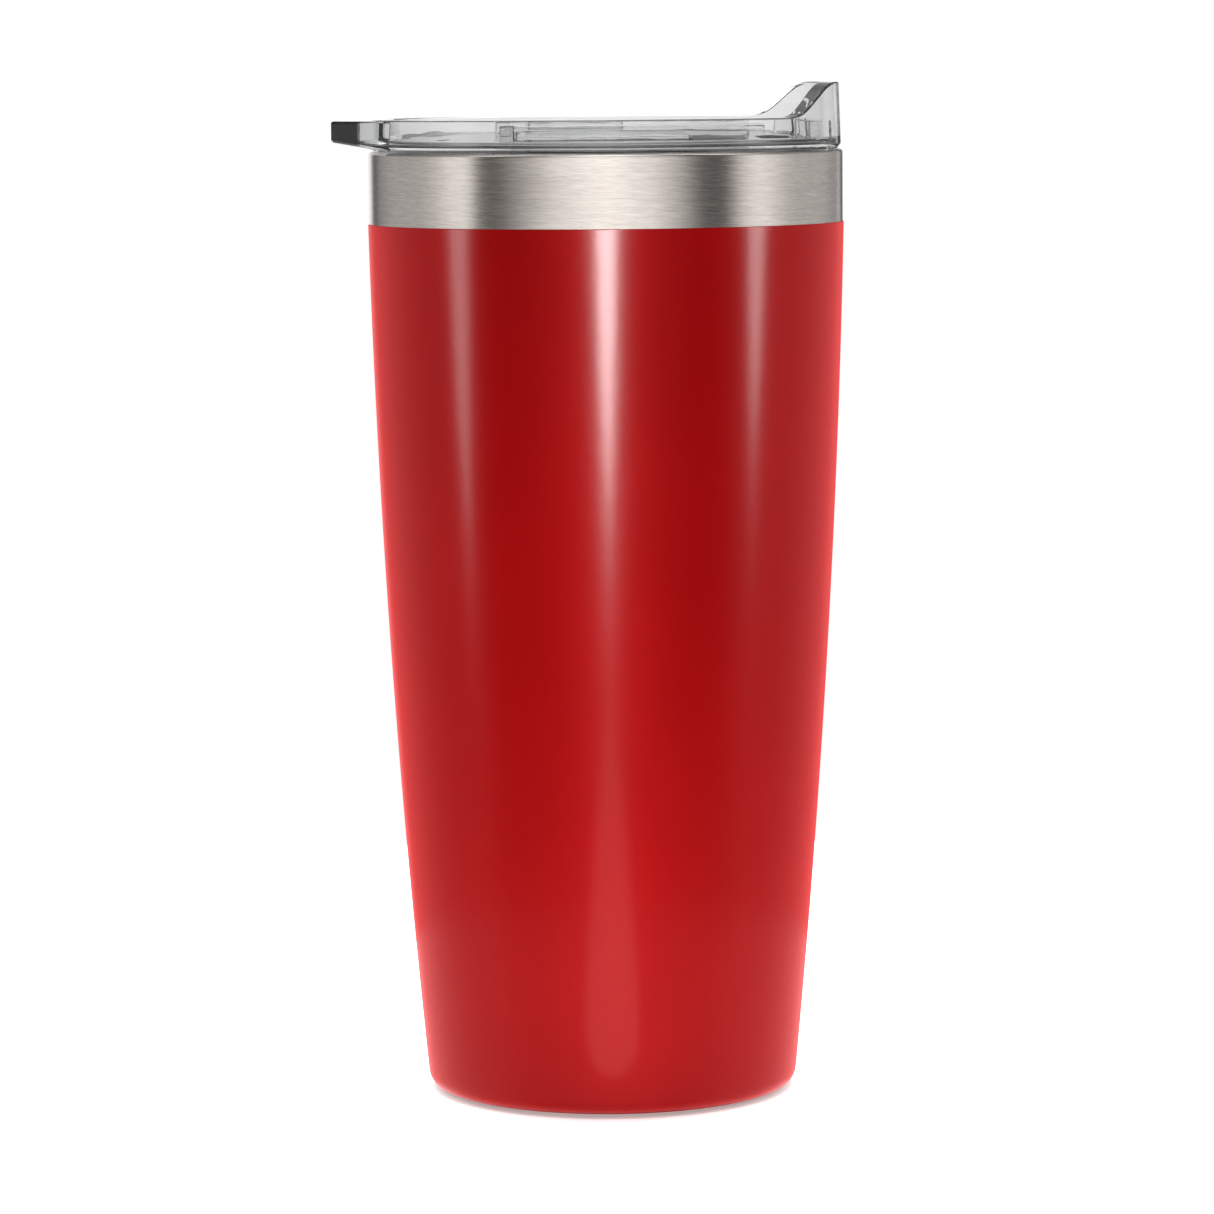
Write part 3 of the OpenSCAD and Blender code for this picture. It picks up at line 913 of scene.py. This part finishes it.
def make_world():
    """White to the eye, with soft panels and dark gaps round the object for its reflections."""
    world = bpy.data.worlds.new("studio")
    bpy.context.scene.world = world
    world.use_nodes = True
    tree = world.node_tree
    tree.nodes.clear()
    add = node_adder(tree)

    def maths(operation, *values):
        return add("ShaderNodeMath", dict(enumerate(values)), operation=operation).outputs[0]

    def greys(turns, start, stops):
        """Grey at an angle in turns, from stops in degrees, where the ramp starts at start."""
        position = maths("SUBTRACT", turns, start / 360)
        ramp = add("ShaderNodeValToRGB", {"Fac": position})
        elements = ramp.color_ramp.elements
        while len(elements) < len(stops):
            elements.new(1.0)
        for element, (degrees, grey) in zip(elements, stops):
            element.position = (degrees - start) / 360
            element.color = (grey, grey, grey, 1)
        return ramp.outputs["Color"]

    def blend(kind, first, second):
        return add(
            "ShaderNodeMix", {0: 1.0, 6: first, 7: second}, data_type="RGBA",
            blend_type=kind).outputs[2]

    place = add("ShaderNodeTexCoord")
    turn = add("ShaderNodeVectorRotate", {
        "Vector": place.outputs["Generated"], "Angle": math.radians(-CAMERA_BEARING)},
        rotation_type="Z_AXIS")
    parts = add("ShaderNodeSeparateXYZ", {"Vector": turn.outputs["Vector"]})
    ahead = maths("MULTIPLY", parts.outputs["Y"], -1.0)
    side = maths("DIVIDE", maths("ARCTAN2", parts.outputs["X"], ahead), TAU)
    drop = maths("DIVIDE", maths("ARCSINE", parts.outputs["Z"]), -TAU)
    around = greys(side, -180, REFLECTED_ROUND)
    rise = maths("MULTIPLY", drop, -1.0)
    fade = greys(drop, 0, REFLECTED_FADE)
    fade_up = greys(rise, 0, REFLECTED_RISE)
    under = greys(drop, 0, REFLECTED_BELOW)
    shown_round = blend("MULTIPLY", blend("MULTIPLY", around, fade), fade_up)
    reflected = add("ShaderNodeBackground", {"Color": blend("ADD", shown_round, under)})
    lit = add("ShaderNodeBackground", {"Color": greys(side, -180, LIT_ROUND)})
    open_top = blend("LIGHTEN", greys(side, -180, SEEN_ROUND), greys(rise, 0, SEEN_ABOVE))
    through = add("ShaderNodeBackground", {"Color": open_top})
    white = add("ShaderNodeBackground", {"Color": (1, 1, 1, 1)})
    path = add("ShaderNodeLightPath")
    shown = reflected
    for kind, background in (("Transmission", through), ("Diffuse", lit), ("Camera", white)):
        shown = add("ShaderNodeMixShader", {
            0: path.outputs[f"Is {kind} Ray"], 1: shown.outputs[0], 2: background.outputs[0]})
    add("ShaderNodeOutputWorld", {"Surface": shown.outputs[0]})


# Tall lights that only the coat reflects: degrees from the camera, width, height and power
STREAKS = {
    "front_streak": (0, 0.36, 0.22, 165), "front_glow": (0, 0.8, 0.22, 9),
    "left_streak": (-74.5, 0.42, 0.22, 31), "right_streak": (76.2, 0.44, 0.29, 52),
    "back_streak": (180, 0.36, 0.22, 90)}


def make_lights(coat):
    """A wide light overhead, and lights whose gloss and glow only the coat shows."""
    top = softbox("top_light", Vector((0, 0.1, 1.7)), 1.6, 1.6, 26)
    top.visible_glossy = False
    top.visible_transmission = False
    coat_only = bpy.data.collections.new("coat_only")
    coat_only.objects.link(coat)
    for name, (degrees, width, height, power) in STREAKS.items():
        light = softbox(name, bearing(degrees, 2.0, height), width, 0.85, power)
        light.visible_diffuse = False
        light.light_linking.receiver_collection = coat_only
    for name, place, width, depth, power in (
            ("floor_glow", Vector((0, 0, 0.001)), 0.30, 0.30, 0.27),
            ("floor_streak", bearing(0, 0.18, 0.002), 0.055, 0.26, 0.16)):
        light = softbox(name, place, width, depth, power)
        light.rotation_quaternion = (
            Matrix.Rotation(math.radians(CAMERA_BEARING), 4, "Z")
            @ Matrix.Rotation(math.pi, 4, "X")).to_quaternion()
        light.light_linking.receiver_collection = coat_only


make_shell()
coat = make_coat()
make_liner()
make_liner_floor()
make_base_cap()
make_lid()
make_gasket()
make_slider()
make_slider_seal()
dress_hidden_parts()
make_floor()
make_world()
make_lights(coat)
make_camera()
bpy.context.scene.view_settings.view_transform = "Standard"
